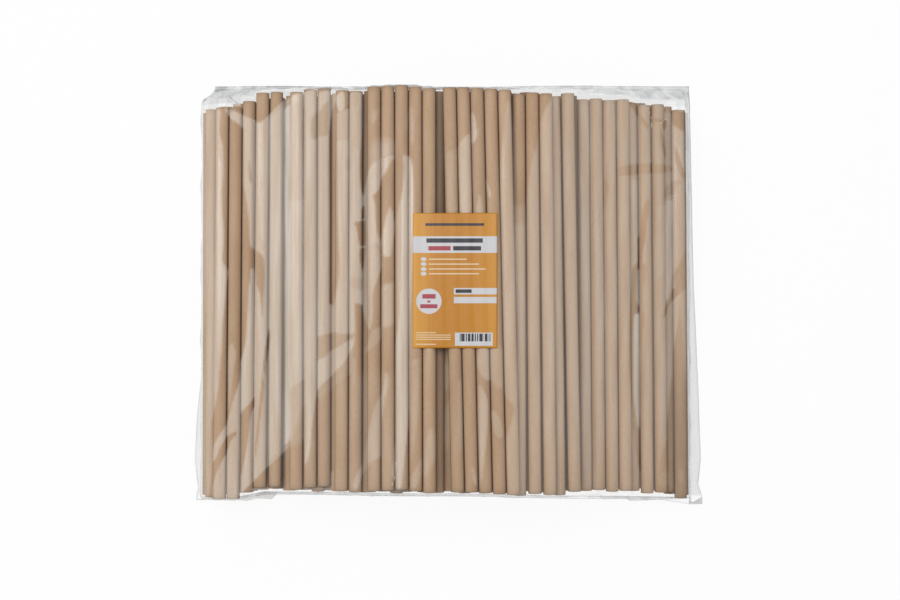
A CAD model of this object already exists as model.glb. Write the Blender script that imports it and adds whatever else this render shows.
# Sealed clear film pack of 250 kraft paper drinking straws, lying on its back.
# Lengths are in mm until a mesh is made. X runs across the straws, Y along them, Z is up.
import math
import bpy
import numpy as np
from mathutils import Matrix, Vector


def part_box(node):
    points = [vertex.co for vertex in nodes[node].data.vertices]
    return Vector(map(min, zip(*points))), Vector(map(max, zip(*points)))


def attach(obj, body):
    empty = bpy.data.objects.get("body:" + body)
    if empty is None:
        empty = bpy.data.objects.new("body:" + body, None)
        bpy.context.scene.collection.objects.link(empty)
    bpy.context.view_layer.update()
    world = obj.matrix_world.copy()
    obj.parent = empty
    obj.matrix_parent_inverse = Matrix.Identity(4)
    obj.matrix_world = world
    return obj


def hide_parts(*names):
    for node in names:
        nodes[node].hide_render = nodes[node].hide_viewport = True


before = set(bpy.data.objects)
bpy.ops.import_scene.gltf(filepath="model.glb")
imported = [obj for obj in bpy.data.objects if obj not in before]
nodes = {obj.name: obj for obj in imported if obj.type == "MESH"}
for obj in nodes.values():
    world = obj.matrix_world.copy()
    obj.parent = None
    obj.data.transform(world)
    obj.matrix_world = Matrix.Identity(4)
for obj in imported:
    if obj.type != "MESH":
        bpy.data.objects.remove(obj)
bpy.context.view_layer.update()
mm = 0.001


def linear(hexColour):
    # sRGB hex to linear light
    parts = [int(hexColour[i:i + 2], 16) / 255 for i in (1, 3, 5)]
    return tuple(c / 12.92 if c <= 0.04045 else ((c + 0.055) / 1.055) ** 2.4 for c in parts) + (1.0,)


def mix(a, b, t):
    # a at t = 0, b at t = 1, on a straight line between
    return a + (b - a) * t


def smooth(low, high, value):
    # 0 below low, 1 above high, an S curve between
    t = np.clip((value - low) / (high - low), 0, 1)
    return t * t * (3 - 2 * t)


def addNode(tree, kind, sockets, **settings):
    # one shader node, its settings, and its inputs: values, sockets, or nodes for their first output
    made = tree.nodes.new("ShaderNode" + kind)
    for name, value in settings.items():
        setattr(made, name, value)
    for key, value in sockets.items():
        if isinstance(value, bpy.types.Node):
            value = value.outputs[0]
        if isinstance(value, bpy.types.NodeSocket):
            tree.links.new(value, made.inputs[key])
        else:
            made.inputs[key].default_value = value
    return made


def newMaterial(name):
    # an empty node material and its tree
    material = bpy.data.materials.new(name)
    material.use_nodes = True
    material.node_tree.nodes.clear()
    return material, material.node_tree


def gridCells(rows, cols, closed=False):
    # quads of a grid, which may close on itself both ways, and the row and column of their corners
    last = 0 if closed else 1
    r, c = np.meshgrid(np.arange(rows - last), np.arange(cols - last), indexing="ij")
    corners = np.stack([np.stack([r, c], -1), np.stack([r + 1, c], -1),
                        np.stack([r + 1, c + 1], -1), np.stack([r, c + 1], -1)], 2).reshape(-1, 4, 2)
    faces = (corners[..., 0] % rows) * cols + corners[..., 1] % cols
    return faces, corners


def makePiece(name, points, faces, material, uvs=None, fields=None):
    # a mesh object at the origin; uvs has one pair for each corner of each face
    mesh = bpy.data.meshes.new(name)
    mesh.from_pydata((np.asarray(points).reshape(-1, 3) * mm).tolist(), [],
                     [face for part in faces for face in part.tolist()])
    if uvs is not None:
        layer = mesh.uv_layers.new(name="UVMap")
        layer.data.foreach_set("uv", np.asarray(uvs, np.float32).ravel())
    for key, values in (fields or {}).items():
        attribute = mesh.attributes.new(key, "FLOAT", "POINT")
        attribute.data.foreach_set("value", np.asarray(values, np.float32).ravel())
    mesh.polygons.foreach_set("use_smooth", [True] * len(mesh.polygons))
    mesh.materials.append(material)
    mesh.update()
    piece = bpy.data.objects.new(name, mesh)
    bpy.context.scene.collection.objects.link(piece)
    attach(piece, "root")
    return piece


# Camera, straight above the pack
cameraView = dict(x=0.45, y=-3.0, height=969.7, focal=60.8, sensor=36, pictureWidth=900, pictureHeight=600)

cameraData = bpy.data.cameras.new("overheadCamera")
cameraData.lens = cameraView["focal"]
cameraData.sensor_width = cameraView["sensor"]
camera = bpy.data.objects.new("overheadCamera", cameraData)
camera.location = (cameraView["x"] * mm, cameraView["y"] * mm, cameraView["height"] * mm)
bpy.context.scene.collection.objects.link(camera)
bpy.context.scene.camera = camera


def pictureOf(points):
    # where a point on the pack shows in the 900 by 600 picture; used once, to lay marks on the film
    view = cameraView
    scale = view["focal"] / view["sensor"] * view["pictureWidth"]
    depth = view["height"] - points[..., 2]
    return (view["pictureWidth"] / 2 + (points[..., 0] - view["x"]) / depth * scale,
            view["pictureHeight"] / 2 - (points[..., 1] - view["y"]) / depth * scale)


# Straws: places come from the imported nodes
straw = dict(radius=4.0, room=0.06, wall=0.4, lip=0.08, rimShare=0.3, sides=48, ovalness=0.035,
             ovalLength=14, helix=18.7, toneLow=0.96, toneHigh=1.04, endShade=0.28, endShadeLength=1.2,
             nearShade=0.1, nearShadeLength=4, rubbedFrom=0.86, rubbedMost=0.85, shadedStraw="straw_35",
             shadedTone=0.74, shadedFrom=30, shadedTo=130, endZone=60, endDepth=1, patternAcross=300,
             patternAlong=900, seed=7)
# tones of the buried straws, and the places between which they change
buried = dict(tone=0.67, farTone=0.53, farFrom=10, farTo=50, leftTone=0.88, leftFrom=-60, leftTo=-66,
              saturation=1.05)
pitch = 2 * straw["radius"] + straw["room"]
topNames = ["straw_%02d" % k for k in range(1, 36)]
courseNames = ["course_%d" % k for k in range(1, 9)]


def nodePoints(name):
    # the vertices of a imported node
    mesh = nodes[name].data
    flat = np.zeros(len(mesh.vertices) * 3, np.float32)
    mesh.vertices.foreach_get("co", flat)
    return flat.reshape(-1, 3).astype(float) / mm


def middleOf(points):
    # middle of the box round some points
    return (points.min(0) + points.max(0)) / 2


def strawEnds(points):
    # middles of a straw's near and far ends
    near = points[points[:, 1] < points[:, 1].min() + straw["endDepth"]]
    far = points[points[:, 1] > points[:, 1].max() - straw["endDepth"]]
    nearEnd, farEnd = middleOf(near), middleOf(far)
    nearEnd[1], farEnd[1] = points[:, 1].min(), points[:, 1].max()
    return nearEnd, farEnd


def outermost(points, side):
    # the last straw of a course on one side, by its vertices at each end of the pack
    ends = []
    wide = 2 * straw["radius"] + straw["room"] / 2
    for way in (-1, 1):
        half = points[way * points[:, 1] > straw["endZone"]]
        limit = (side * half[:, 0]).max()
        edge = half[side * half[:, 0] > limit - wide]
        ends.append(np.array([side * limit - side * straw["radius"], way * (way * edge[:, 1]).max(),
                              middleOf(edge)[2]]))
    return ends[0], ends[1]


topStraws = [strawEnds(nodePoints(name)) for name in topNames]
coursePoints = {name: nodePoints(name) for name in courseNames}
courseSides = [outermost(points, side) for points in coursePoints.values() for side in (-1, 1)]
underFilm = topStraws + courseSides


def strawX(ends, y):
    # where a straw's axis lies at y, on the line through its two ends
    near, far = ends
    return near[0] + (far[0] - near[0]) * (y - near[1]) / (far[1] - near[1])


def kraftPaper(name, onStraw):
    # Unbleached kraft paper, wound in a spiral from three glued plies and left uncoated:
    # brown, fibrous, matt, with a faint line where the outer ply's edges meet
    paper = dict(colour="#B89778", dark="#9C7A58", pale="#C9AF93", rubbed="#5F3A22", variation=0.42,
                 fibre=0.45, fibreStretch=0.16, cloud=7.0, contrast=(0.7, 1.3), seamWidth=0.02,
                 seamShare=0.16, seamStep=0.6, roughness=0.78, specular=0.25, bump=0.25, bumpDepth=0.05)
    material, tree = newMaterial(name)
    place = addNode(tree, "TexCoord", {})
    base = place.outputs["UV"] if onStraw else place.outputs["Object"]
    lengthwise = addNode(tree, "Mapping", {"Vector": base, "Scale": (1, paper["fibreStretch"], 1)})
    fibres = addNode(tree, "TexNoise", {"Vector": lengthwise, "Scale": 1 / (paper["fibre"] * mm),
                     "Detail": 5, "Roughness": 0.7})
    clouds = addNode(tree, "TexNoise", {"Vector": lengthwise, "Scale": 1 / (paper["cloud"] * mm),
                     "Detail": 3})
    both = addNode(tree, "Math", {0: fibres, 1: clouds}, operation="ADD")
    ramp = addNode(tree, "MapRange", {"Value": both, "From Min": paper["contrast"][0],
                   "From Max": paper["contrast"][1]})
    darkToPale = addNode(tree, "Mix", {0: ramp, 6: linear(paper["dark"]), 7: linear(paper["pale"])},
                         data_type="RGBA")
    colour = addNode(tree, "Mix", {0: paper["variation"], 6: linear(paper["colour"]),
                     7: darkToPale.outputs[2]}, data_type="RGBA")
    height = fibres
    if onStraw:
        # seam: where length over pitch less the turn round the straw is a whole number
        split = addNode(tree, "SeparateXYZ", {"Vector": base})
        alongTurns = addNode(tree, "Math", {0: split.outputs["Y"], 1: 1 / (straw["helix"] * mm)},
                             operation="MULTIPLY")
        roundTurns = addNode(tree, "Math", {0: split.outputs["X"],
                             1: 1 / (2 * math.pi * straw["radius"] * mm)}, operation="MULTIPLY")
        phase = addNode(tree, "Math", {0: alongTurns, 1: roundTurns}, operation="SUBTRACT")
        turn = addNode(tree, "Math", {0: phase}, operation="FRACT")
        fromSeam = addNode(tree, "Math", {0: turn, 1: paper["seamWidth"]}, operation="LESS_THAN")
        seam = addNode(tree, "Math", {0: fromSeam, 1: paper["seamShare"]}, operation="MULTIPLY")
        colour = addNode(tree, "Mix", {0: seam, 6: colour.outputs[2], 7: linear(paper["dark"])},
                         data_type="RGBA")
        tone = addNode(tree, "Attribute", {}, attribute_name="tone")
        colour = addNode(tree, "HueSaturation", {"Color": colour.outputs[2], "Value": tone.outputs["Fac"]})
        rubbed = addNode(tree, "Attribute", {}, attribute_name="rubbed")
        colourOut = addNode(tree, "Mix", {0: rubbed.outputs["Fac"], 6: colour.outputs["Color"],
                            7: linear(paper["rubbed"])}, data_type="RGBA").outputs[2]
        step = addNode(tree, "Math", {0: turn, 1: paper["seamStep"]}, operation="MULTIPLY")
        height = addNode(tree, "Math", {0: step, 1: fibres}, operation="ADD")
    else:
        # buried straws get less light than the sky gives them here, under their neighbours and the
        # film: least in the far half, and most at the left, where the heap is low and the film near
        split = addNode(tree, "SeparateXYZ", {"Vector": base})
        towardFar = addNode(tree, "MapRange", {"Value": split.outputs["Y"],
                            "From Min": buried["farFrom"] * mm, "From Max": buried["farTo"] * mm,
                            "To Min": buried["tone"], "To Max": buried["farTone"]})
        atLeft = addNode(tree, "MapRange", {"Value": split.outputs["X"],
                         "From Min": buried["leftFrom"] * mm, "From Max": buried["leftTo"] * mm})
        value = addNode(tree, "Mix", {0: atLeft, 2: towardFar, 3: buried["leftTone"]})
        colourOut = addNode(tree, "HueSaturation", {"Color": colour.outputs[2],
                            "Saturation": buried["saturation"], "Value": value}).outputs["Color"]
    bump = addNode(tree, "Bump", {"Height": height, "Strength": paper["bump"],
                   "Distance": paper["bumpDepth"] * mm})
    surface = addNode(tree, "BsdfPrincipled", {"Base Color": colourOut, "Roughness": paper["roughness"],
                      "Specular IOR Level": paper["specular"], "Normal": bump})
    addNode(tree, "OutputMaterial", {"Surface": surface})
    return material


strawPaper = kraftPaper("spiralWoundKraftPaper", True)
buriedPaper = kraftPaper("kraftPaperInTheHeap", False)
toneRandom = np.random.default_rng(straw["seed"])


def strawPoints(ends, turn, oval):
    # a closed wall profile (outer wall, far lip, inner wall, near lip) carried round the axis;
    # the ends are pressed slightly oval where the straw was cut
    near, far = ends
    length = np.linalg.norm(far - near)
    # places along the outer wall, closest near the ends
    outer = np.array([0, 0.5, 1.2, 2.5, 4, 7, 11, 16, 30, 80, 120])
    outer = np.concatenate([outer[:-1], length - outer[::-1]])
    inner = outer[::-1]
    radius, lip, wall = straw["radius"], straw["lip"], straw["wall"]
    rim = lip * straw["rimShare"]
    along = np.concatenate([[rim], outer[1:-1], [length - rim], [length, length], inner[1:-1], [0, 0]])
    radii = np.concatenate([[radius - rim], np.full(len(outer) - 2, radius), [radius - rim],
                            [radius - lip, radius - wall + lip], np.full(len(inner) - 2, radius - wall),
                            [radius - wall + lip, radius - lip]])
    angle = np.arange(straw["sides"]) / straw["sides"] * 2 * math.pi
    axis = (far - near) / length
    across = np.cross(axis, [0, 0, 1.0])
    upward = np.cross(across, axis)
    press = oval * (np.exp(-along / straw["ovalLength"]) + np.exp((along - length) / straw["ovalLength"]))
    press = press[:, None]
    spread = radii[:, None] * (1 - np.abs(press) + press * np.cos(2 * (angle[None] - turn)))
    points = (near[None, None] + along[:, None, None] * axis
              + spread[..., None] * (np.cos(angle)[None, :, None] * across
                                     + np.sin(angle)[None, :, None] * upward))
    return points, along


for name, ends in zip(topNames, topStraws):
    tone = toneRandom.uniform(straw["toneLow"], straw["toneHigh"])
    points, along = strawPoints(ends, toneRandom.uniform(0, math.pi),
                                toneRandom.uniform(0, 1) * straw["ovalness"])
    rows, cols = points.shape[:2]
    faces, corners = gridCells(rows, cols, closed=True)
    # each straw starts at its own place in the paper's pattern
    roundMm = corners[..., 1] / cols * 2 * math.pi * straw["radius"]
    roundMm = roundMm + toneRandom.uniform(0, straw["patternAcross"])
    alongMm = along[corners[..., 0] % rows] + toneRandom.uniform(0, straw["patternAlong"])
    uvs = np.stack([roundMm, alongMm], -1) * mm
    # the cut ends are darker, with handling and with the shade under the gathered film
    fromEnd = np.minimum(along, along.max() - along)
    tones = tone * (1 - straw["endShade"] * np.exp(-fromEnd / straw["endShadeLength"])
                    - straw["nearShade"] * np.exp(-along / straw["nearShadeLength"]))
    if name == straw["shadedStraw"]:
        tones = tones * mix(straw["shadedTone"], 1, smooth(straw["shadedFrom"], straw["shadedTo"], along))
    # the flanks are browner, where a straw lies against its neighbours
    flank = np.abs(np.cos(np.arange(cols) / cols * 2 * math.pi))
    rubbed = np.broadcast_to(straw["rubbedMost"] * smooth(straw["rubbedFrom"], 1.0, flank), (rows, cols))
    piece = makePiece("paper" + name.replace("_", "").capitalize(), points, [faces], strawPaper, uvs,
                      {"tone": np.repeat(tones, cols), "rubbed": rubbed})
    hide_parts(name)
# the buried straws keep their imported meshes
for name in courseNames:
    nodes[name].data.materials.clear()
    nodes[name].data.materials.append(buriedPaper)
print("straws done")


# Film
film = dict(thick=0.05, gap=0.15, columns=300, rows=246, wallColumns=12, wallRows=14,
            crestFlat=2.2, fall=0.4, nearRoom=2, farRoom=5.5, sideRoom=0.5, sideSeam=8, endSeam=13,
            endFin=2.2, leftFin=4, rightFin=7, ear=2.5, leftEar=0.3, earReach=0.06, finDroop=2,
            leftCornerDraw=8, rightCornerDraw=0.5, sideHeel=5.5, endHeel=0.8, endFall=0.45,
            endCourses=2.2, drawnOut=0.25, drawnFrom=9, seamWave=1.5, seamTurn=1100, weld=0.45,
            finWave=0.25, finWaveAcross=5, finWaveAlong=6, underside=0.05, cornerShare=0.05,
            bulgeSkew=0.7, sideBulge=0.9, sideFolds=((0.35, 7.3), (0.25, 3.1)), endBulge=0.75,
            endFolds=((0.35, 2.7), (0.3, 1.55)), endFoldSpread=11)
# Read by eye: places from -1 to 1, and values there. How far the near (-1) and far (1) end seams are
# drawn in, from left to right, and shares of the left (-1) and right (1) fins' widths, from near to far.
seamDraw = {-1: ([-1, -0.84, -0.74, 0, 0.7, 1], [0.8, 1, 4.2, 3, 1.2, 0]),
            1: ([-1, 0, 0.3, 1], [0, 1, 0.5, 0])}
finShares = {-1: ([-1, -0.94, -0.8, -0.6, -0.4, 1], [1.1, 0.72, 1.2, 0.9, 0.25, 0.06]),
             1: ([-1, -0.92, -0.8, -0.4, 0.1, 1], [1.33, 0.88, 1.1, 0.85, 0.45, 0.14])}
filmOff = film["gap"] + film["thick"]
strawTop = straw["radius"]


def cover(x, y, off, flat, fall):
    # highest of the tents over the straws: level over each crest and falling beside it
    best = np.full(np.broadcast(x, y).shape, -1e9)
    for ends in underFilm:
        best = np.maximum(best, ends[0][2] - fall * np.maximum(0, np.abs(x - strawX(ends, y)) - flat))
    return best + off + strawTop


def heapEdge(y, heap, side):
    # the outermost flank of a heap's straws on one side at y
    return side * np.max([side * strawX(ends, y) for ends in heap], 0) + side * strawTop


def endOf(x, way):
    # how far the upper straws near x reach at one end; their neighbours draw the film out a little
    low = cover(x, x * 0, 0, straw["radius"], film["endFall"]) - film["endCourses"] * pitch
    reach = np.zeros(x.shape)
    for ends in underFilm:
        end = way * (ends[1][1] if way > 0 else ends[0][1])
        there = end - film["drawnOut"] * np.maximum(0, np.abs(x - strawX(ends, 0)) - film["drawnFrom"])
        reach = np.where(ends[0][2] + strawTop > low, np.maximum(reach, there), reach)
    for points in coursePoints.values():
        end = (way * points[:, 1]).max()
        covered = (points[:, 2].max() > low) & (x > points[:, 0].min()) & (x < points[:, 0].max())
        reach = np.where(covered, np.maximum(reach, end), reach)
    return way * reach


seamFar = max(ends[1][1] for ends in topStraws) + film["farRoom"]
seamNear = min(ends[0][1] for ends in topStraws) - film["nearRoom"]


def sideSeam(y, side):
    # a level seam just outside the outermost straws
    x = heapEdge(y, underFilm, side) + side * (film["sideRoom"] + filmOff)
    return np.stack([x, y, np.full(y.shape, float(film["sideSeam"]))], -1)


def endSeam(share, way):
    # the end seam is drawn in unevenly and stands highest in the middle
    y = seamNear if way < 0 else seamFar
    across = 2 * share - 1
    draw = np.interp(across, *seamDraw[way])
    left = sideSeam(np.array([y]), -1)[0, 0] + (film["leftCornerDraw"] if way > 0 else 0)
    right = sideSeam(np.array([y]), 1)[0, 0] - (film["rightCornerDraw"] if way > 0 else 0)
    rise = np.maximum(0, 1 - np.abs(across) ** 6) ** 2
    wave = film["seamWave"] * np.sin(np.radians(film["seamTurn"] * share))
    height = mix(film["sideSeam"], film["endSeam"] + wave, rise)
    return np.stack([mix(left, right, share), y - way * draw + way * filmOff, height], -1)


def crestField():
    # the film over the heap: an even grid between the heap's edges and the straws' ends
    share = np.linspace(0, 1, film["rows"])[:, None]
    i = np.linspace(0, 1, film["columns"])[None]
    x0 = mix(heapEdge(0, topStraws, -1) - filmOff, heapEdge(0, topStraws, 1) + filmOff, i)
    y = mix(endOf(x0, -1) - filmOff, endOf(x0, 1) + filmOff, share)
    x = mix(heapEdge(y, topStraws, -1) - filmOff, heapEdge(y, topStraws, 1) + filmOff, i)
    return np.stack([x, y, cover(x, y, filmOff, film["crestFlat"], film["fall"])], -1)


def wallBetween(seam, crest, count, out, folds):
    # from a seam up to the crest line, gathered in folds and standing out between them, most a
    # little below the middle
    t = (np.arange(1, count + 1) / (count + 1))[:, None, None]
    bulge = np.sin(math.pi * t ** film["bulgeSkew"])
    return seam[None] + (crest - seam)[None] * t + out * bulge * folds[None, :, None]


crest = crestField()
sides = []
for side, column in ((-1, 0), (1, -1)):
    edge = crest[:, column]
    seam = sideSeam(edge[:, 1], side)
    y = edge[:, 1]
    # an even bulge and two sets of folds, one finer than the other, by their height and length
    (coarse, coarseLength), (fine, fineLength) = film["sideFolds"]
    folds = film["sideBulge"] + coarse * np.sin(y / coarseLength + side)
    folds = folds + fine * np.sin(y / fineLength + 2 * side)
    wall = wallBetween(seam, edge, film["wallColumns"], np.array([side, 0, 0.0]), folds)
    sides.append(np.concatenate([seam[None], wall]).transpose(1, 0, 2))
body = np.concatenate([sides[0], crest, sides[1][:, ::-1]], 1)
ends = []
for way, row in ((-1, 0), (1, -1)):
    edge = body[row]
    share = (edge[:, 0] - edge[0, 0]) / (edge[-1, 0] - edge[0, 0])
    seam = endSeam(share, way)
    # the folds fade out at the corners
    inside = np.minimum(1, np.minimum(share, 1 - share) / film["cornerShare"])
    x = edge[:, 0]
    (coarse, coarseLength), (fine, fineLength) = film["endFolds"]
    folds = film["endBulge"] + coarse * np.sin(x / coarseLength)
    folds = inside * (folds + fine * np.sin(x / fineLength + 1) * np.sin(x / film["endFoldSpread"]))
    wall = wallBetween(seam, edge, film["wallRows"], np.array([0, way, 0.0]), folds)
    ends.append(np.concatenate([seam[None], wall]))
sheet = np.concatenate([ends[0], body, ends[1][::-1]], 0)


def finWidth(y, side):
    # width of a side's fin, which changes along the pack
    return film["leftFin" if side < 0 else "rightFin"] * np.interp(y / seamFar, *finShares[side])


def withFin(grid):
    # two more rings of points outside the seams: the weld and the fin's cut edge
    for reach in (film["weld"], 1.0):
        padded = np.pad(grid, ((1, 1), (1, 1), (0, 0)), mode="edge")
        rings = 1 if reach < 1 else 2
        base = np.pad(sheet, ((rings, rings), (rings, rings), (0, 0)), mode="edge")
        sx = np.zeros(padded.shape[:2])
        sy = np.zeros(padded.shape[:2])
        sx[:, 0], sx[:, -1], sy[0], sy[-1] = -1, 1, -1, 1
        y, x = base[..., 1], base[..., 0]
        share = (x - base[0, 0, 0]) / (base[0, -1, 0] - base[0, 0, 0])
        wide = np.where(sx < 0, finWidth(y, -1), finWidth(y, 1)) * np.abs(sx)
        rightEar = np.maximum(0, 1 - (1 - share) / film["earReach"])
        leftEar = film["leftEar"] * np.maximum(0, 1 - share / film["earReach"])
        near = film["endFin"] + film["ear"] * (rightEar + leftEar)
        deep = np.where(sy < 0, near, film["endFin"]) * np.abs(sy)
        edge = (sx != 0) | (sy != 0)
        moved = base + reach * np.stack([sx * wide, sy * deep, np.full(x.shape, -film["finDroop"])], -1)
        wave = np.sin(x / film["finWaveAcross"] + y / film["finWaveAlong"])
        moved[..., 2] += film["finWave"] * wave * reach
        grid = np.where(edge[..., None], moved, padded)
    return grid


finned = withFin(sheet)
rows, cols = finned.shape[:2]
topFaces = gridCells(rows, cols)[0]


def ringOf(inset):
    # the closed line of places round a grid, some cells in
    r0, r1, c0, c1 = inset, rows - 1 - inset, inset, cols - 1 - inset
    return np.concatenate([r0 * cols + np.arange(c0, c1), np.arange(r0, r1) * cols + c1,
                           r1 * cols + np.arange(c1, c0, -1), np.arange(r1, r0, -1) * cols + c0])


flatPoints = finned.reshape(-1, 3)
edgeRing = ringOf(0)
rootRing = ringOf(2)
rootLine = flatPoints[rootRing]
# underside: the fin's lower face, the lower wall, and rings of floor that close on the middle
underFin = flatPoints[edgeRing] - [0, 0, 2 * film["thick"]]
low, high = rootLine.min(0), rootLine.max(0)
tx = (rootLine[:, 0] - low[0]) / (high[0] - low[0])
ty = (rootLine[:, 1] - low[1]) / (high[1] - low[1])
heel = np.stack([mix(low[0] + film["sideHeel"], high[0] - film["sideHeel"], tx),
                 mix(low[1] + film["endHeel"], high[1] - film["endHeel"], ty),
                 np.full(len(tx), film["underside"])], -1)
underRoot = rootLine - [0, 0, 2 * film["thick"]]
middle = np.array([0, (low[1] + high[1]) / 2, film["underside"]])
floorRings = [mix(heel, middle, t) for t in (0.25, 0.55, 0.85)]
parts = [flatPoints, underFin, underRoot, heel] + floorRings + [middle[None]]
starts = np.cumsum([0] + [len(p) for p in parts])


def band(upper, lower):
    # quads between two closed lines of the same length
    return np.stack([upper, np.roll(upper, -1), np.roll(lower, -1), lower], -1)


underEdge = starts[1] + np.arange(len(edgeRing))
# the fin's ring has more places than the root's, so the root's are repeated at the corners
filmFaces = [topFaces, band(edgeRing, underEdge)]
sideCounts = [cols - 1, rows - 1, cols - 1, rows - 1]
sideStarts = np.cumsum([0] + [count - 4 for count in sideCounts[:-1]])
match = np.concatenate([np.clip(np.arange(count), 2, count - 2) - 2 + start
                        for count, start in zip(sideCounts, sideStarts)]) % len(rootRing)
underRootIndex = starts[2] + match
finUnder = band(underEdge, underRootIndex)
same = finUnder[:, 2] == finUnder[:, 3]
filmFaces += [finUnder[~same], finUnder[same][:, :3]]
lines = [start + np.arange(len(rootRing)) for start in starts[2:7]]
for upper, lower in zip(lines[:-1], lines[1:]):
    filmFaces.append(band(upper, lower))
centre = np.full(len(rootRing), starts[-2])
filmFaces.append(np.stack([lines[-1], np.roll(lines[-1], -1), centre], -1))
filmPoints = np.concatenate(parts)
print("film shape done", len(filmPoints))

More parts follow.
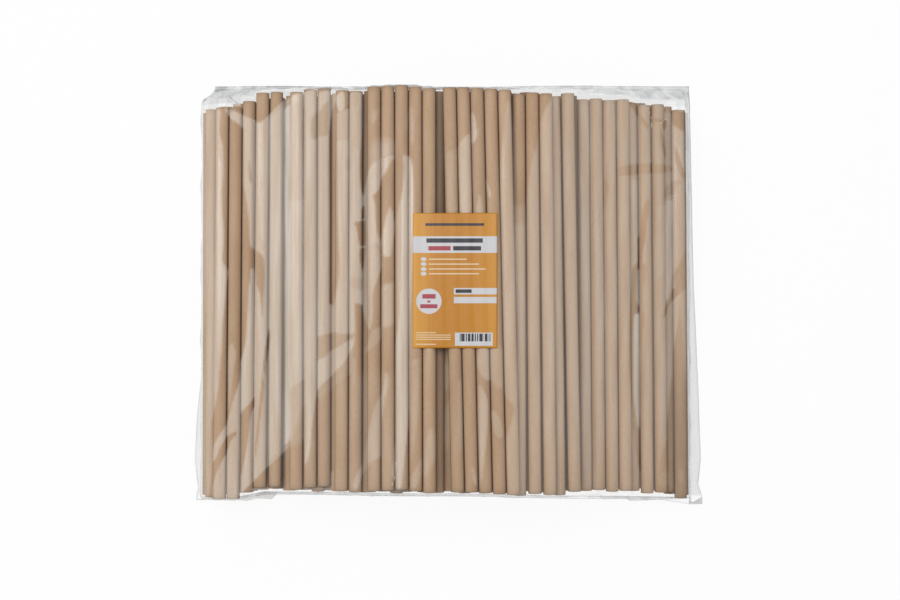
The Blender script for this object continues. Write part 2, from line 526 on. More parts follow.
# Where the film stands off the straws it takes the light and veils them, and where it clings it is
# clear. Each mark is the veil's strength, how soft its edge is and its outline, in places of the
# picture read by eye. Marks are laid one over another in this order.
filmMarks = [
    # a faint haze over the near left
    (0.14, 9.0, [(262, 430), (300, 380), (400, 372), (412, 500), (262, 500)]),
    # straws 1 and 2
    (0.65, 1.2, [(198, 100), (216, 108), (221, 110), (219.5, 125), (219.5, 135), (223, 145), (223.5, 165),
        (223, 180), (221.5, 190), (222, 215), (223.5, 225), (224, 240), (223.5, 250), (222, 260), (225, 266),
        (228.5, 270), (228.5, 274), (227, 280), (225.5, 300), (223, 320), (222.5, 340), (221.5, 355),
        (220, 370), (219, 385), (216, 403), (213.5, 412), (211.5, 425), (212.3, 463), (211, 480),
        (208.5, 499), (190, 499)]),
    (0.95, 1.5, [(216.5, 150), (222, 165), (221, 190), (222, 225), (222, 250), (221, 262), (227, 272),
        (224, 300), (222, 330), (220, 362), (217.5, 385), (215, 400), (216, 300), (216.5, 200)]),
    (0.8, 0.8, [(224, 108.5), (230.5, 109), (230, 117.5), (227, 113)]),
    (0.8, 0.9, [(226.5, 424), (219, 436), (213.5, 445), (212.3, 463), (216, 458), (220, 447.5),
        (226.5, 437)]),
    (0.8, 1.0, [(226.5, 453), (221, 463), (215, 476), (212.5, 488), (213, 499), (226.5, 499)]),
    # straw 3
    (0.9, 0.9, [(231, 110), (243, 115), (250, 119), (256, 121.5), (256, 130), (243, 129), (237, 122.5),
        (230, 119)]),
    (0.45, 1.0, [(230, 342), (233.5, 346), (236, 352), (236, 358), (233, 368), (231.5, 385), (230.5, 400),
        (228.5, 412), (228, 360)]),
    (0.85, 1.0, [(241, 368), (240, 379), (236, 392), (232, 404), (229, 416), (226.5, 424), (226, 437),
        (230, 434), (236, 431), (237, 434), (231, 440), (229, 446), (226.5, 453), (226, 499),
        (240.5, 499)]),
    # straw 4
    (0.85, 1.0, [(243.5, 116), (256.5, 121), (256.5, 250), (253, 249), (250, 246), (249.5, 235), (249, 222),
        (247.5, 208), (245.5, 195), (243.5, 184)]),
    (0.25, 0.8, [(248.5, 158), (250.5, 165), (252.5, 180), (251, 184), (249, 180), (248, 168)]),
    (0.85, 1.0, [(250.5, 269.5), (252, 267.5), (254.5, 270), (256.5, 278), (256.5, 396), (254, 397),
        (251, 402), (246, 407), (242.5, 411), (240.5, 414), (240.5, 362), (244, 350), (246, 340), (247, 320),
        (248, 308), (248.5, 290), (250, 280)]),
    (0.85, 1.0, [(255, 405), (255, 480), (251, 484), (247, 487), (243.5, 491), (240, 499), (240.5, 478),
        (242, 472), (244, 462), (246, 453), (247.5, 443), (249, 430), (250, 420), (252, 411)]),
    # straws 5 and 6
    (0.8, 0.9, [(256.5, 121), (260, 123.5), (264, 119.5), (270.5, 113.5), (278, 105.5), (284.5, 99.5),
        (284.5, 452), (283, 453), (277, 459), (270.5, 464.5), (262, 472), (258, 477), (255, 480),
        (254.5, 270), (256, 200)]),
    (1.0, 2.0, [(268.5, 120), (284.5, 105), (284.5, 448), (268.5, 462)]),
    (0.05, 1.0, [(255.5, 250), (262, 254.5), (264, 260), (264.3, 275), (263.8, 292), (262.8, 305),
        (262, 318), (261.5, 310), (260.5, 298), (259, 291), (256.5, 285), (255.5, 270)]),
    (0.15, 0.8, [(269.8, 326), (270.5, 340), (268.5, 352), (266.5, 365), (265, 380), (263, 398),
        (260.5, 418), (258.5, 435), (256.5, 450), (254.6, 461), (255, 445), (257, 428), (258.5, 410),
        (260.5, 393), (262, 378), (263.5, 362), (265.5, 345), (268, 333)]),
    (0.7, 0.5, [(265.5, 361), (264, 380), (263, 386), (264, 370)]),
    (0.55, 1.0, [(261, 175), (263, 180), (263, 188), (261.5, 192)]),
    (0.55, 1.0, [(260.5, 238), (263, 243), (264, 250), (262, 252), (261.5, 246)]),
    # straws 7 and 8
    (0.95, 1.0, [(284.5, 99.5), (291, 98.5), (292, 95), (304.5, 92), (317.8, 88), (317.8, 388), (315.5, 400),
        (313.5, 415), (311.5, 430), (310.3, 447), (308, 460), (305, 466), (304.5, 436), (296, 440),
        (291, 444), (284, 453)]),
    (0.7, 2.5, [(304.5, 120), (298, 126), (296, 136), (298, 150), (304.5, 152)]),
    (2.3, 1.2, [(284.8, 108), (290.5, 104), (290.5, 440), (284.8, 446)]),
    (0.75, 5.0, [(292, 104), (304, 102), (304, 200), (292, 200)]),
    (0.65, 1.5, [(304.5, 378), (297, 384), (290.5, 388), (290.5, 440), (304.5, 440)]),
    (0.3, 4.0, [(304.5, 405), (300, 418), (294, 432), (288, 446), (304.5, 446)]),
    (0.08, 3.0, [(287, 452), (293, 446), (304, 441), (304, 480), (280, 480)]),
    (0.4, 2.0, [(311, 118), (318, 111), (318, 139), (312, 140), (310.5, 130)]),
    # straws 9 and 10
    (0.82, 1.0, [(318.5, 92), (328.5, 90), (336, 92), (337, 100), (334, 106), (331, 122), (328.5, 140),
        (328.5, 305), (340, 300), (340, 333), (328, 333.5), (322, 336), (317.5, 337)]),
    (0.3, 1.0, [(328, 100), (323, 106), (320, 110.5), (318, 114), (318, 137), (328, 136)]),
    (0.1, 1.2, [(329, 130), (333.5, 105), (336.5, 108), (336.5, 150), (337.5, 200), (338.5, 245),
        (339.5, 262), (339, 278), (336.5, 292), (334.5, 302), (332, 308), (330, 300), (329, 285),
        (328.8, 200)]),
    (0.3, 1.0, [(317.5, 337), (322, 336), (328, 333.5), (340, 333), (353, 333.5), (353, 372), (317, 400)]),
    (0.9, 1.0, [(317.5, 359), (325, 358), (329, 351.5), (334, 349.5), (340, 346), (346, 342), (352, 338),
        (352, 349), (349, 353), (346, 360), (341, 366), (335, 372), (329, 378.5), (322, 384),
        (317.5, 391)]),
    # straws 11 and 12
    (1.0, 0.8, [(336, 96), (343, 90), (345, 98), (345, 105), (343, 111), (339, 112), (336.5, 104)]),
    (0.6, 1.2, [(337, 112), (349.5, 108), (349.5, 142), (337, 142)]),
    (0.85, 1.2, [(336.8, 140), (349.5, 140), (350, 92), (362, 92), (361.5, 130), (360, 150), (359.2, 168),
        (360, 182), (361.5, 192), (363.5, 196), (365, 192), (369, 190), (369, 245), (365, 272), (363, 276),
        (363, 306), (359, 303.5), (354.5, 303), (355, 320), (355.5, 334), (337.5, 334), (337.5, 305),
        (334.5, 302), (336.5, 292), (339, 278), (339.5, 262), (338.5, 245), (337.5, 200)]),
    (0.1, 0.8, [(344, 92), (349, 92), (350, 103), (346, 107), (344.5, 104), (345.5, 98)]),
    (0.5, 1.2, [(352, 94), (359, 93), (358.5, 104), (355, 112), (352, 104)]),
    (0.65, 3.0, [(350.5, 108), (361, 108), (360.5, 150), (350.5, 150)]),
    (0.6, 2.0, [(345.5, 157), (350, 157), (350, 170), (345.5, 170)]),
    (0.0, 0.8, [(353.5, 221), (357, 222), (361, 221.5), (362, 206), (365, 206), (365.5, 224), (368, 232),
        (368.5, 238), (366.5, 243), (365.3, 247), (366, 250), (365.5, 258), (364.5, 268), (363, 273),
        (361.5, 268), (359.5, 260), (358.8, 254), (360.5, 248), (358, 239), (357, 230)]),
    (0.8, 0.5, [(359.5, 246), (366, 246), (366, 248), (359.5, 248)]),
    (0.6, 2.5, [(350, 278), (357, 277), (366, 280), (366, 290), (355, 290), (350, 286)]),
    (0.9, 1.0, [(350, 345), (354.5, 336), (355.3, 330), (354, 345), (351, 350), (348, 356)]),
    # straws 12 and 13, below
    (0.62, 1.0, [(363, 272), (365, 258), (366, 243), (368.5, 238), (381, 241), (381.5, 268), (380, 273),
        (376, 283), (373, 291), (372.5, 300), (373, 315), (372, 325), (370, 331), (367.5, 326), (364.5, 317),
        (362.5, 308)]),
    (0.4, 0.8, [(373, 243), (378, 243), (380.5, 250), (380, 256), (376, 250)]),
    (0.35, 1.2, [(370.5, 331), (381, 326), (381, 339), (375, 346), (367, 352), (364.5, 354), (367, 345),
        (370, 338)]),
    (0.3, 1.2, [(351, 358), (356, 358), (356.5, 378), (353.5, 392), (351, 380)]),
    (0.55, 1.2, [(381, 394), (377, 402), (373, 412), (370, 425), (367, 440), (365, 452), (363.5, 463),
        (362, 476), (366, 470), (370, 463), (376, 459), (381, 457)]),
    (0.6, 1.0, [(362, 462), (358, 472), (354, 480), (352, 488), (357, 490), (360, 482), (362.5, 474)]),
    (0.7, 0.8, [(330.5, 473), (333, 470), (334.5, 474), (333, 483), (332.5, 492), (330, 491)]),
    # straws 13 and 14
    (0.45, 8.0, [(371, 150), (378, 140), (390, 140), (395, 150), (386, 170), (372, 172)]),
    (0.7, 1.0, [(364.5, 192), (367, 178), (369.5, 168), (372, 164), (378, 160), (389, 156), (395.5, 155.5),
        (391, 161), (387, 168), (383, 177), (381, 180), (380, 188), (376, 193), (372.5, 195), (375, 203),
        (375.5, 225), (377.5, 235), (380, 239), (381, 243), (367, 246), (366, 215)]),
    (0.2, 1.5, [(371, 112), (379, 108), (379, 116), (372, 126)]),
    (0.7, 0.9, [(390, 205), (392.3, 212), (394, 222), (394, 232), (392.5, 245), (391, 257), (383.5, 257),
        (382, 246), (382, 236), (384.5, 224), (387, 214)]),
    (0.6, 2.5, [(382.5, 285), (393, 282), (393, 325), (382.5, 328)]),
    (0.65, 0.9, [(385.5, 371), (388.8, 378), (388.3, 386), (385, 398), (383, 412), (381.5, 422),
        (381.5, 396), (384, 384)]),
    (0.7, 1.0, [(395.8, 438), (395.8, 478), (391.5, 477), (393, 462), (394, 450)]),
    # straw 15
    (0.45, 1.5, [(396.5, 218), (399, 204), (402, 196), (402.5, 204), (401, 260), (400.5, 292), (399, 310),
        (396.5, 345)]),
    (0.95, 1.0, [(403, 154.5), (408, 156), (411, 159), (412.5, 168), (413.3, 185), (413.5, 212),
        (409.5, 350), (409.3, 408), (408.2, 425), (406, 445), (404, 462), (402.3, 478), (401, 489),
        (396, 489), (396, 345), (398, 325), (399.5, 305), (400.8, 285), (401.2, 250), (401, 205), (402, 195),
        (403.5, 180), (404, 165)]),
    (0.2, 1.5, [(408, 110), (408, 131), (404.5, 130), (404, 122)]),
    # straws 16 to 22
    (0.3, 1.5, [(409.5, 105), (412.5, 108), (414, 125), (413.3, 140), (412, 146), (410, 140)]),
    (0.3, 1.5, [(411, 360), (419, 358), (418.5, 410), (416, 430), (413.5, 450), (411, 462)]),
    (0.4, 1.2, [(410.5, 478), (416, 468), (421.5, 457), (422, 470), (419, 482), (414, 490), (410.5, 488)]),
    (0.4, 2.0, [(429.5, 428), (434, 430), (434.8, 445), (434, 462), (431, 468), (427.5, 474), (424.5, 477),
        (424.3, 455), (426, 440)]),
    (0.2, 1.5, [(446, 152), (456, 149), (457, 212), (447, 212)]),
    (0.55, 0.9, [(457.6, 151), (459.3, 143), (463, 138.5), (470, 132.5), (470.8, 150), (472, 213),
        (460, 213), (458.8, 180)]),
    (0.55, 0.9, [(471, 114), (473, 112.5), (475.5, 118), (476.8, 126), (478.3, 135), (473.8, 142.5),
        (471, 145.5)]),
    (0.5, 0.9, [(478.3, 198), (479.5, 194), (481.8, 200), (484, 213), (476.5, 213)]),
    (0.55, 0.8, [(485.3, 179), (487.5, 182), (490.5, 193), (491.5, 198), (489.3, 197), (487, 190)]),
    (0.3, 1.8, [(445, 362), (449.5, 368), (449.5, 384), (447, 392), (445, 390)]),
    (0.3, 1.8, [(450, 398), (450, 438), (447, 452), (445, 440), (445.5, 408)]),
    (0.25, 1.5, [(458, 382), (461, 378), (462, 400), (462, 450), (459, 452), (457.5, 430)]),
    (0.52, 1.0, [(477, 362), (479.5, 348), (490, 347), (490.5, 382), (484, 379), (480, 372), (477.5, 366)]),
    (0.58, 1.0, [(478.5, 384), (480.5, 386), (484, 391), (486.5, 396), (488, 403), (488, 425), (486, 445),
        (481, 490), (479.5, 470), (478.5, 420)]),
    (0.28, 1.0, [(491, 378), (495, 386), (500, 388.5), (503.5, 388), (503.5, 348), (491, 347)]),
    (0.42, 1.0, [(491, 411), (495, 410), (500, 418), (503, 430), (503.5, 438), (498, 438), (494, 432)]),
    (0.5, 0.8, [(472, 465), (474.5, 470), (476.5, 482), (475, 486), (472.5, 478)]),
    (0.45, 1.5, [(500.5, 165), (503.5, 135), (505.5, 112), (507.5, 98), (510.5, 105), (513, 130),
        (514.5, 200), (517, 300), (519, 400), (520, 499), (508, 499), (506.5, 470), (505.5, 440), (508, 432),
        (512, 420), (514.5, 409), (513, 404), (508, 400), (504.5, 394), (503.5, 360), (501.5, 300),
        (500, 250), (499, 200)]),
    # right half
    (0.55, 1.0, [(551.5, 96), (550, 101), (545, 110), (541, 120), (539, 132), (537, 145), (534.5, 152),
        (531.5, 163), (529.5, 175), (527.5, 190), (526.3, 205), (525.5, 218), (514.5, 213.5), (515.5, 300),
        (519, 400), (519, 499), (705, 505), (705, 84), (552, 84)]),
    (0.3, 5.0, [(513, 206), (527, 206), (527, 224), (513, 224)]),
    (0.95, 1.2, [(665.5, 200), (673, 200), (673, 270), (668, 300), (665.5, 300)]),
    (0.85, 1.2, [(631, 180), (637.5, 180), (637.5, 262), (631.5, 268)]),
    (0.8, 2.0, [(657, 205), (665, 205), (665, 270), (657, 280)]),
    (0.68, 2.5, [(594, 180), (602, 180), (604, 380), (595, 380)]),
    (0.72, 1.6, [(577.5, 105), (589, 105), (592.5, 488), (581.5, 488)]),
    (0.2, 1.0, [(617, 166), (630, 164.5), (650, 163.5), (665, 164), (672, 167), (673, 171), (665, 173),
        (650, 173.5), (630, 175.5), (617, 176.5)]),
    (0.2, 1.0, [(604, 176), (609, 182), (609, 192), (606.5, 205), (604.5, 215), (603.3, 200)]),
    (0.0, 0.8, [(629, 101), (637, 102), (637.5, 118), (634, 110), (630, 105)]),
    (0.1, 0.8, [(637.5, 111.5), (642, 116), (647, 123), (650, 129.5), (646, 128.5), (641, 121.5)]),
    (0.05, 1.0, [(648, 197), (649.3, 203), (648.3, 215), (646.8, 225), (646.3, 238), (644.5, 245),
        (642.5, 252), (642, 262), (641.8, 270), (637, 270), (637.5, 238), (641, 230), (643, 212),
        (645, 202)]),
    (0.8, 0.6, [(648, 211), (648.7, 222), (647.3, 240), (645.8, 252), (645.3, 263.5), (642.8, 263),
        (643.3, 252), (646, 240), (647, 225)]),
    (0.15, 0.8, [(643, 264), (646.5, 264), (646, 276), (644.5, 289), (643, 285), (642.3, 272)]),
    (0.1, 1.0, [(632.5, 270), (637, 262), (636.5, 283), (635, 300), (639.5, 307), (640, 313), (634, 318),
        (632.5, 335), (632, 360), (632.5, 385), (634, 403), (636, 413), (640, 418), (640, 445), (641, 474),
        (637.5, 463), (635, 450), (633, 430), (632.3, 413), (631, 395), (629, 370), (628.7, 345), (629, 325),
        (630.3, 303)]),
    (0.95, 0.9, [(634, 314), (639, 313), (639.5, 430), (637, 425), (634.5, 400), (633.5, 360)]),
    (0.1, 0.8, [(640.5, 311.5), (645, 311.5), (644.7, 322), (643, 335), (641.5, 352), (640.3, 345)]),
    (0.1, 0.8, [(673, 287), (679, 290), (681, 293), (675, 298), (671, 302), (668, 308), (666, 316),
        (662.3, 320.5), (664, 311), (667, 302), (670, 296)]),
    (0.15, 1.0, [(687, 243), (687, 288), (681, 293), (677, 291), (674.5, 283), (673.5, 275), (678, 266),
        (683, 256)]),
    (0.12, 1.2, [(679.5, 298), (681.5, 320), (683, 340), (685, 370), (689, 400), (690, 499), (673, 499),
        (673, 352), (676, 335), (678.5, 318)]),
    (0.12, 1.2, [(672.5, 372), (670, 390), (668, 410), (666.5, 425), (666.5, 442), (664, 450), (661, 456),
        (659, 470), (657, 480), (655, 494), (673, 494)]),
    (0.3, 1.0, [(679, 470), (684, 471), (684, 482), (680, 484), (678, 478)]),
    (0.4, 0.8, [(642, 474), (648, 479), (654, 484), (650, 490), (645, 484)]),
    (0.35, 0.8, [(657, 476), (664, 472), (668, 470), (671, 478), (674, 488), (666, 484), (660, 487)]),
    (0.05, 0.8, [(664, 107), (677, 107), (678, 112), (688, 112.5), (688, 134), (679, 129), (672, 124.5),
        (671, 112), (664.5, 113)]),
    (0.1, 0.8, [(660, 128), (663, 135), (665, 148), (666.5, 159), (664, 155), (661.5, 146), (660, 138)]),
    (0.1, 0.8, [(652, 106), (655, 110), (652, 117), (658, 118), (663, 120), (666, 118), (668, 124),
        (664, 132), (661, 123), (652, 121), (650, 128), (650, 106)]),
    (0.15, 0.8, [(674.5, 147), (677, 150), (680, 158), (683, 168), (686, 180), (682, 178), (678.5, 172),
        (675, 160)]),
    (0.85, 0.5, [(677, 143), (680, 148), (682.5, 158), (685, 171), (682.5, 167), (679.8, 155)]),
    (0.3, 0.9, [(663.5, 192), (666, 186), (670, 184), (674, 180), (681, 180.5), (683, 183), (676, 187),
        (674, 196), (670, 195), (666, 197), (663, 200)]),
]
# Bright lines where the film is folded sharply
filmCreases = [
    [(354, 219), (362, 221), (365, 218)],
    [(655, 116), (661, 124), (666, 118), (671, 124)],
    [(648, 108), (652, 120), (650, 134)],
    [(396, 462), (395, 476), (392, 486)],
    [(231, 110.5), (243, 115.5), (256, 121.5)],
]


def rounded(outline):
    # corners cut twice, by 2 and then 0.8 of a picture place, so that straight edges stay straight
    points = np.array(outline, float)
    for cut in (2.0, 0.8):
        following = np.roll(points, -1, 0)
        length = np.linalg.norm(following - points, axis=1, keepdims=True)
        t = np.minimum(0.25, cut / np.maximum(length, 1e-6))
        points = np.stack([mix(points, following, t), mix(points, following, 1 - t)], 1).reshape(-1, 2)
    return points


def segmentDistance(x, y, start, end):
    # distance from each place to the nearest point of a straight line between two others
    span = end - start
    t = np.clip(((x - start[0]) * span[0] + (y - start[1]) * span[1]) / (span @ span + 1e-9), 0, 1)
    return np.hypot(x - start[0] - t * span[0], y - start[1] - t * span[1])


def insideDistance(x, y, outline):
    # distance to an outline, above zero inside it
    points = rounded(outline)
    following = np.roll(points, -1, 0)
    nearest = np.full(x.shape, 1e9)
    inside = np.zeros(x.shape, bool)
    for start, end in zip(points, following):
        nearest = np.minimum(nearest, segmentDistance(x, y, start, end))
        crosses = (start[1] > y) != (end[1] > y)
        rise = end[1] - start[1] if end[1] != start[1] else 1e-9
        inside ^= crosses & (x < start[0] + (y - start[1]) * (end[0] - start[0]) / rise)
    return np.where(inside, nearest, -nearest)


# The veil is weaker at the near right, where less light falls on the film, and in the valleys between
# the straws, where the film clings, most to the right. Places are in the picture, valleys in mm.
veilRule = dict(margin=3, nearRight=0.4, nearRows=(380, 500), nearColumns=(480, 560), valleyLeft=0.4,
                valleyRight=0.68, rightColumns=(495, 520), valley=(2.6, 4.0))
px, py = pictureOf(filmPoints)
veil = np.zeros(len(filmPoints))
for strength, soft, outline in filmMarks:
    corners = np.array(outline, float)
    low = corners.min(0) - veilRule["margin"]
    high = corners.max(0) + veilRule["margin"]
    near = (px > low[0]) & (px < high[0]) & (py > low[1]) & (py < high[1])
    share = smooth(-soft, soft, insideDistance(px[near], py[near], outline))
    veil[near] = mix(veil[near], strength, share)
veil *= 1 - veilRule["nearRight"] * smooth(*veilRule["nearRows"], py) * smooth(*veilRule["nearColumns"], px)
sideways = np.abs(np.stack([filmPoints[:, 0] - strawX(ends, filmPoints[:, 1]) for ends in topStraws]))
valleyShare = mix(veilRule["valleyLeft"], veilRule["valleyRight"], smooth(*veilRule["rightColumns"], px))
veil *= 1 - valleyShare * smooth(*veilRule["valley"], sideways.min(0))
crease = np.full(len(filmPoints), 9.0)  # far from any bright line
for line in filmCreases:
    points = np.array(line, float)
    for start, end in zip(points[:-1], points[1:]):
        crease = np.minimum(crease, segmentDistance(px, py, start, end))

# how far film lies past the nearest top straw's ends, or past the outermost straws at the sides
looseRule = dict(least=-3, most=12, turnWithin=2.5, rightShare=0.55, leftToRight=(-40, 60))
nearestStraw = sideways.argmin(0)
farEnds = np.array([ends[1][1] for ends in topStraws])[nearestStraw]
nearEnds = np.array([ends[0][1] for ends in topStraws])[nearestStraw]
past = np.maximum(filmPoints[:, 1] - farEnds, nearEnds - filmPoints[:, 1])
for side in (-1, 1):
    past = np.maximum(past, side * (filmPoints[:, 0] - heapEdge(filmPoints[:, 1], topStraws, side)))
past = np.clip(past, looseRule["least"], looseRule["most"])
# the loose film turns from the light most at the far end, more so to the left, and least at the near end
towardRight = mix(1, looseRule["rightShare"], smooth(*looseRule["leftToRight"], filmPoints[:, 0]))
shade = smooth(0, looseRule["turnWithin"], filmPoints[:, 1] - farEnds) * towardRight
shade = shade - smooth(0, looseRule["turnWithin"], nearEnds - filmPoints[:, 1])


def clearFilm():
    # Clear polypropylene film, blown and welded: glossy, and milky only where it stands off the straws
    # and takes the light of the sky. Its loose edges are creased, grey in the folds and white on them,
    # clear when faced and pale when they fall away steeply.
    look = dict(milk="#F6F0E6", white="#FCFCFC", grey="#CDCFD1", shaded="#979A9D", clearShare=0.03,
                veilShare=0.38, cloud=3.846, cloudStretch=(1, 0.06, 1), cloudRange=(0.3, 0.7),
                cloudShares=(0.68, 1.2), creaseShare=0.5, creaseWidth=0.9, creaseCore=0.2,
                looseFrom=(-0.2, 0.8), hugFade=(3.7, 1.2), streak=9.091, streakTurn=math.radians(38),
                streakStretch=(1, 0.3, 0.35), streakRange=(0.36, 0.82), steepRange=(0.25, 0.75),
                facedShare=0.18, facedMore=0.16, streakMore=0.1, shadedShare=0.28, steepShare=0.8,
                roughness=0.16, ior=1.49, bump=0.3, bumpDepth=0.4)
    material, tree = newMaterial("clearBlownFilm")
    place = addNode(tree, "TexCoord", {})
    veilHere = addNode(tree, "Attribute", {}, attribute_name="veil")
    longCloud = addNode(tree, "Mapping", {"Vector": place.outputs["Object"],
                        "Scale": look["cloudStretch"]})
    cloud = addNode(tree, "TexNoise", {"Vector": longCloud, "Scale": 1 / (look["cloud"] * mm),
                    "Detail": 2})
    cloudShare = addNode(tree, "MapRange", {"Value": cloud, "From Min": look["cloudRange"][0],
                         "From Max": look["cloudRange"][1], "To Min": look["cloudShares"][0],
                         "To Max": look["cloudShares"][1]})
    clouded = addNode(tree, "Math", {0: veilHere.outputs["Fac"], 1: cloudShare}, operation="MULTIPLY")
    veiled = addNode(tree, "Math", {0: clouded, 1: look["veilShare"], 2: look["clearShare"]},
                     operation="MULTIPLY_ADD")
    creaseHere = addNode(tree, "Attribute", {}, attribute_name="crease")
    creased = addNode(tree, "MapRange", {"Value": creaseHere.outputs["Fac"],
                      "From Min": look["creaseWidth"], "From Max": look["creaseCore"],
                      "To Max": look["creaseShare"]}, interpolation_type="SMOOTHSTEP")
    strongest = addNode(tree, "Math", {0: veiled, 1: creased}, operation="MAXIMUM")
    # loose film: soft slanting facets, a white line where it hugs the straws' ends, grey beyond
    pastHere = addNode(tree, "Attribute", {}, attribute_name="past")
    loose = addNode(tree, "MapRange", {"Value": pastHere.outputs["Fac"], "From Min": look["looseFrom"][0],
                    "From Max": look["looseFrom"][1]}, interpolation_type="SMOOTHSTEP")
    hug = addNode(tree, "MapRange", {"Value": pastHere.outputs["Fac"], "From Min": look["hugFade"][0],
                  "From Max": look["hugFade"][1]}, interpolation_type="SMOOTHSTEP")
    slant = addNode(tree, "Mapping", {"Vector": place.outputs["Object"],
                    "Rotation": (0, 0, look["streakTurn"]), "Scale": look["streakStretch"]})
    streak = addNode(tree, "TexNoise", {"Vector": slant, "Scale": 1 / (look["streak"] * mm), "Detail": 2,
                     "Distortion": 0.8})
    streakShare = addNode(tree, "MapRange", {"Value": streak, "From Min": look["streakRange"][0],
                          "From Max": look["streakRange"][1]})
    whiteShare = addNode(tree, "Math", {0: streakShare, 1: hug}, operation="MAXIMUM")
    facing = addNode(tree, "LayerWeight", {"Blend": 0.5})
    steep = addNode(tree, "MapRange", {"Value": facing.outputs["Facing"],
                    "From Min": look["steepRange"][0], "From Max": look["steepRange"][1]},
                    interpolation_type="SMOOTHSTEP")
    shadeHere = addNode(tree, "Attribute", {}, attribute_name="shade")
    faced = addNode(tree, "Math", {0: shadeHere.outputs["Fac"], 1: look["facedMore"],
                    2: look["facedShare"]}, operation="MULTIPLY_ADD", use_clamp=True)
    streaked = addNode(tree, "Math", {0: streakShare, 1: look["streakMore"], 2: faced},
                       operation="MULTIPLY_ADD")
    fullShare = addNode(tree, "Math", {0: shadeHere.outputs["Fac"], 1: look["shadedShare"],
                        2: look["steepShare"]}, operation="MULTIPLY_ADD", use_clamp=True)
    looseShare = addNode(tree, "Mix", {0: steep, 2: streaked, 3: fullShare})
    grey = addNode(tree, "Mix", {0: shadeHere.outputs["Fac"], 6: linear(look["grey"]),
                   7: linear(look["shaded"])}, data_type="RGBA")
    alpha = addNode(tree, "Mix", {0: loose, 2: strongest, 3: looseShare})
    looseColour = addNode(tree, "Mix", {0: whiteShare, 6: grey.outputs[2], 7: linear(look["white"])},
                          data_type="RGBA")
    colour = addNode(tree, "Mix", {0: loose, 6: linear(look["milk"]), 7: looseColour.outputs[2]},
                     data_type="RGBA")
    bump = addNode(tree, "Bump", {"Height": streak, "Strength": look["bump"],
                   "Distance": look["bumpDepth"] * mm})
    surface = addNode(tree, "BsdfPrincipled", {"Base Color": colour.outputs[2],
                      "Roughness": look["roughness"], "IOR": look["ior"], "Alpha": alpha, "Normal": bump})
    addNode(tree, "OutputMaterial", {"Surface": surface})
    return material


filmPiece = makePiece("filmBag", filmPoints, filmFaces, clearFilm(), None,
                      {"veil": veil, "crease": crease, "past": past, "shade": shade})
filmPiece.visible_shadow = False
filmPiece.visible_diffuse = False
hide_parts("bag")
print("film done")

# Label, from the box of its node
label = dict(columns=50, rows=80, thick=0.1, flat=12, fall=0.45, gap=0.02, ripple=0.12, rippleStraw=11,
             orange="#C1821E", deep="#B77618", lit="#D4983C", white="#CAC9CB", ink="#2E2B33",
             red="#A23A48", pale="#DCC6A4", litLeft=(13, 1), litRight=(32, 49), litRightMost=0.5,
             grain=3.846, edge=0.06, bar=0.6667, barShare=0.49, roughness=0.38, specular=0.35)
labelLow, labelHigh = [np.array(corner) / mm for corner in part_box("label")]


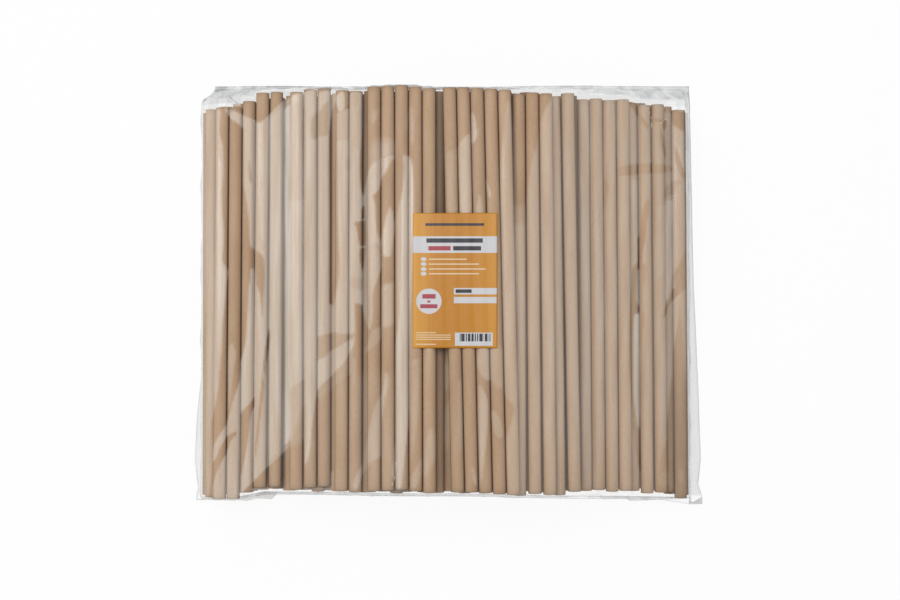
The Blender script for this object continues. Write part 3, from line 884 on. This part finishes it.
def printedPaper():
    # Coated label paper, offset printed: satin, with flat fields of ink that have clean edges
    material, tree = newMaterial("printedLabelPaper")
    place = addNode(tree, "TexCoord", {})
    # the UV map is in metres from the label's far left corner, so here mm from that corner
    point = addNode(tree, "VectorMath", {0: place.outputs["UV"], "Scale": 1 / mm}, operation="SCALE")

    def boxes(places):
        # 1 inside any of the boxes, each (left, top, right, bottom) in mm
        total = 0.0
        for left, top, right, bottom in places:
            away = addNode(tree, "VectorMath", {0: point, 1: ((left + right) / 2, (top + bottom) / 2, 0)},
                           operation="SUBTRACT")
            size = addNode(tree, "VectorMath", {0: away}, operation="ABSOLUTE")
            over = addNode(tree, "VectorMath", {0: size, 1: ((right - left) / 2, (bottom - top) / 2, 0)},
                           operation="SUBTRACT")
            parts = addNode(tree, "SeparateXYZ", {"Vector": over})
            most = addNode(tree, "Math", {0: parts.outputs["X"], 1: parts.outputs["Y"]},
                           operation="MAXIMUM")
            inside = addNode(tree, "MapRange", {"Value": most, "From Min": label["edge"],
                             "From Max": -label["edge"]})
            total = addNode(tree, "Math", {0: inside, 1: total}, operation="MAXIMUM")
        return total

    def spots(places):
        # 1 inside any of the ovals, each (middle across, middle down, half width, half height) in mm
        total = 0.0
        for x, y, wide, tall in places:
            away = addNode(tree, "VectorMath", {0: point, 1: (x, y, 0)}, operation="SUBTRACT")
            scaled = addNode(tree, "VectorMath", {0: away, 1: (1 / wide, 1 / tall, 0)},
                             operation="MULTIPLY")
            length = addNode(tree, "VectorMath", {0: scaled}, operation="LENGTH")
            inside = addNode(tree, "MapRange", {"Value": length.outputs["Value"],
                             "From Min": 1 + label["edge"] / wide, "From Max": 1 - label["edge"] / wide})
            total = addNode(tree, "Math", {0: inside, 1: total}, operation="MAXIMUM")
        return total

    grain = addNode(tree, "TexNoise", {"Vector": place.outputs["UV"], "Scale": 1 / (label["grain"] * mm),
                    "Detail": 3})
    colour = addNode(tree, "Mix", {0: grain, 6: linear(label["deep"]), 7: linear(label["orange"])},
                     data_type="RGBA").outputs[2]
    # the long sides bend down over their straws and take more light, the left one most
    across = addNode(tree, "SeparateXYZ", {"Vector": point})
    atLeft = addNode(tree, "MapRange", {"Value": across.outputs["X"], "From Min": label["litLeft"][0],
                     "From Max": label["litLeft"][1]})
    atRight = addNode(tree, "MapRange", {"Value": across.outputs["X"], "From Min": label["litRight"][0],
                      "From Max": label["litRight"][1], "To Max": label["litRightMost"]})
    litShare = addNode(tree, "Math", {0: atLeft, 1: atRight}, operation="MAXIMUM")
    colour = addNode(tree, "Mix", {0: litShare, 6: colour, 7: linear(label["lit"])},
                     data_type="RGBA").outputs[2]
    layers = [
        (boxes([(-1, 13.8, 52, 23.6), (24.3, 44.4, 49.8, 48.2), (24.3, 49.7, 49.6, 53.4),
                (24.9, 70.8, 47.3, 78.6)]), label["white"]),
        (spots([(9.5, 52.2, 7.5, 7.5), (6.35, 27.3, 1.7, 1.15), (6.35, 30.2, 1.7, 1.15),
                (6.35, 33.2, 1.7, 1.15), (6.35, 35.9, 1.7, 1.15)]), label["white"]),
        (boxes([(9.6, 27.0, 32.0, 27.7), (9.4, 29.9, 39.2, 30.6), (9.4, 32.8, 43.2, 33.5),
                (9.4, 35.6, 39.2, 36.3), (1.8, 70.6, 13.6, 71.1), (1.8, 72.0, 22.4, 72.5),
                (1.8, 73.3, 22.4, 73.8), (1.8, 74.6, 22.4, 75.1), (1.8, 77.4, 13.6, 78.0)]), label["pale"]),
        (boxes([(7.4, 6.0, 42.2, 7.6), (8.0, 15.0, 41.4, 17.6), (23.8, 19.6, 40.4, 22.2),
                (25.3, 45.2, 34.8, 47.3)]), label["ink"]),
        (boxes([(9.2, 19.6, 22.4, 22.2), (5.6, 48.0, 13.5, 50.7), (8.6, 51.8, 10.4, 53.0),
                (4.4, 54.0, 14.6, 56.4)]), label["red"]),
    ]
    # upright bars of uneven width: a coarse noise read along the label's width only
    acrossOnly = addNode(tree, "Mapping", {"Vector": place.outputs["UV"], "Scale": (1, 0, 0)})
    bars = addNode(tree, "TexNoise", {"Vector": acrossOnly, "Scale": 1 / (label["bar"] * mm), "Detail": 0})
    dark = addNode(tree, "Math", {0: bars, 1: label["barShare"]}, operation="GREATER_THAN")
    panel = addNode(tree, "Math", {0: dark, 1: boxes([(27.6, 71.4, 46.2, 76.0)])}, operation="MULTIPLY")
    layers.append((panel, label["ink"]))
    for mask, ink in layers:
        colour = addNode(tree, "Mix", {0: mask, 6: colour, 7: linear(ink)}, data_type="RGBA").outputs[2]
    surface = addNode(tree, "BsdfPrincipled", {"Base Color": colour, "Roughness": label["roughness"],
                      "Specular IOR Level": label["specular"]})
    addNode(tree, "OutputMaterial", {"Surface": surface})
    return material


x = np.linspace(labelLow[0], labelHigh[0], label["columns"] + 1)[None]
y = np.linspace(labelLow[1], labelHigh[1], label["rows"] + 1)[:, None]
x, y = np.broadcast_arrays(x, y)
off = filmOff + label["gap"]
# the label lies in a low arch over the straws and sinks a little into each valley
ridge = 2 * math.pi * (x - strawX(topStraws[label["rippleStraw"]], y)) / pitch
lower = cover(x, y, off, label["flat"], label["fall"]) - label["ripple"] * (1 - np.cos(ridge)) / 2
upperGrid = np.stack([x, y, lower + label["thick"]], -1)
lowerGrid = np.stack([x, y, lower], -1)
labelRows, labelCols = x.shape
faces = gridCells(labelRows, labelCols)[0]
count = labelRows * labelCols
# the places round the edge, in order, for the paper's cut edge
ring = np.concatenate([np.arange(labelCols - 1), np.arange(labelRows - 1) * labelCols + labelCols - 1,
                       (labelRows - 1) * labelCols + np.arange(labelCols - 1, 0, -1),
                       np.arange(labelRows - 1, 0, -1) * labelCols])
edgeFaces = np.stack([ring, np.roll(ring, -1), np.roll(ring, -1) + count, ring + count], -1)
allFaces = [faces[:, ::-1], faces + count, edgeFaces[:, ::-1]]
flat = np.concatenate([upperGrid.reshape(-1, 3), lowerGrid.reshape(-1, 3)])
uvPlace = np.stack([flat[:, 0] - labelLow[0], labelHigh[1] - flat[:, 1]], -1) * mm
uvs = np.concatenate([uvPlace[part].reshape(-1, 2) for part in allFaces])
labelPiece = makePiece("paperLabel", flat, allFaces, printedPaper(), uvs)
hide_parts("label")
print("label done")

# Floor and light
studio = dict(floor="#F6F6F6", floorSize=12.0, white=0.93, sky=0.38, lampPower=18.6, lampWide=0.9,
              lampLong=0.9, lampPlace=(-0.4, 0.45, 1.6))
floorMesh = bpy.data.meshes.new("studioFloor")
half = studio["floorSize"] / 2
floorCorners = [(-half, -half, 0), (half, -half, 0), (half, half, 0), (-half, half, 0)]
floorMesh.from_pydata(floorCorners, [], [(0, 1, 2, 3)])
floorPiece = bpy.data.objects.new("studioFloor", floorMesh)
bpy.context.scene.collection.objects.link(floorPiece)
# white to the camera and in reflections, and a plain matt floor, with the pack's shadow, to the light
floorMaterial, tree = newMaterial("whiteStudioFloor")
ray = addNode(tree, "LightPath", {})
seen = addNode(tree, "Math", {0: ray.outputs["Is Camera Ray"], 1: ray.outputs["Is Glossy Ray"]},
               operation="MAXIMUM")
seenToo = addNode(tree, "Math", {0: seen, 1: ray.outputs["Is Transmission Ray"]}, operation="MAXIMUM")
share = addNode(tree, "Math", {0: seenToo, 1: studio["white"]}, operation="MULTIPLY")
paint = addNode(tree, "BsdfDiffuse", {"Color": linear(studio["floor"])})
glow = addNode(tree, "Emission", {"Color": (1, 1, 1, 1), "Strength": 1.0})
both = addNode(tree, "MixShader", {0: share, 1: paint, 2: glow})
addNode(tree, "OutputMaterial", {"Surface": both})
floorMesh.materials.append(floorMaterial)

lampData = bpy.data.lights.new("softLamp", "AREA")
lampData.shape = "RECTANGLE"
lampData.size = studio["lampWide"]
lampData.size_y = studio["lampLong"]
lampData.energy = studio["lampPower"]
lamp = bpy.data.objects.new("softLamp", lampData)
lamp.location = studio["lampPlace"]
lampX, lampY, lampZ = studio["lampPlace"]
lamp.rotation_euler = (-math.atan2(lampY, lampZ), math.atan2(lampX, lampZ), 0)
bpy.context.scene.collection.objects.link(lamp)
world = bpy.data.worlds.new("studioSky")
world.use_nodes = True
sky = world.node_tree.nodes["Background"]
sky.inputs["Color"].default_value = (1, 1, 1, 1)
sky.inputs["Strength"].default_value = studio["sky"]
bpy.context.scene.world = world
bpy.context.scene.view_settings.view_transform = "Standard"
print("floor and light done")

bpy.context.view_layer.update()
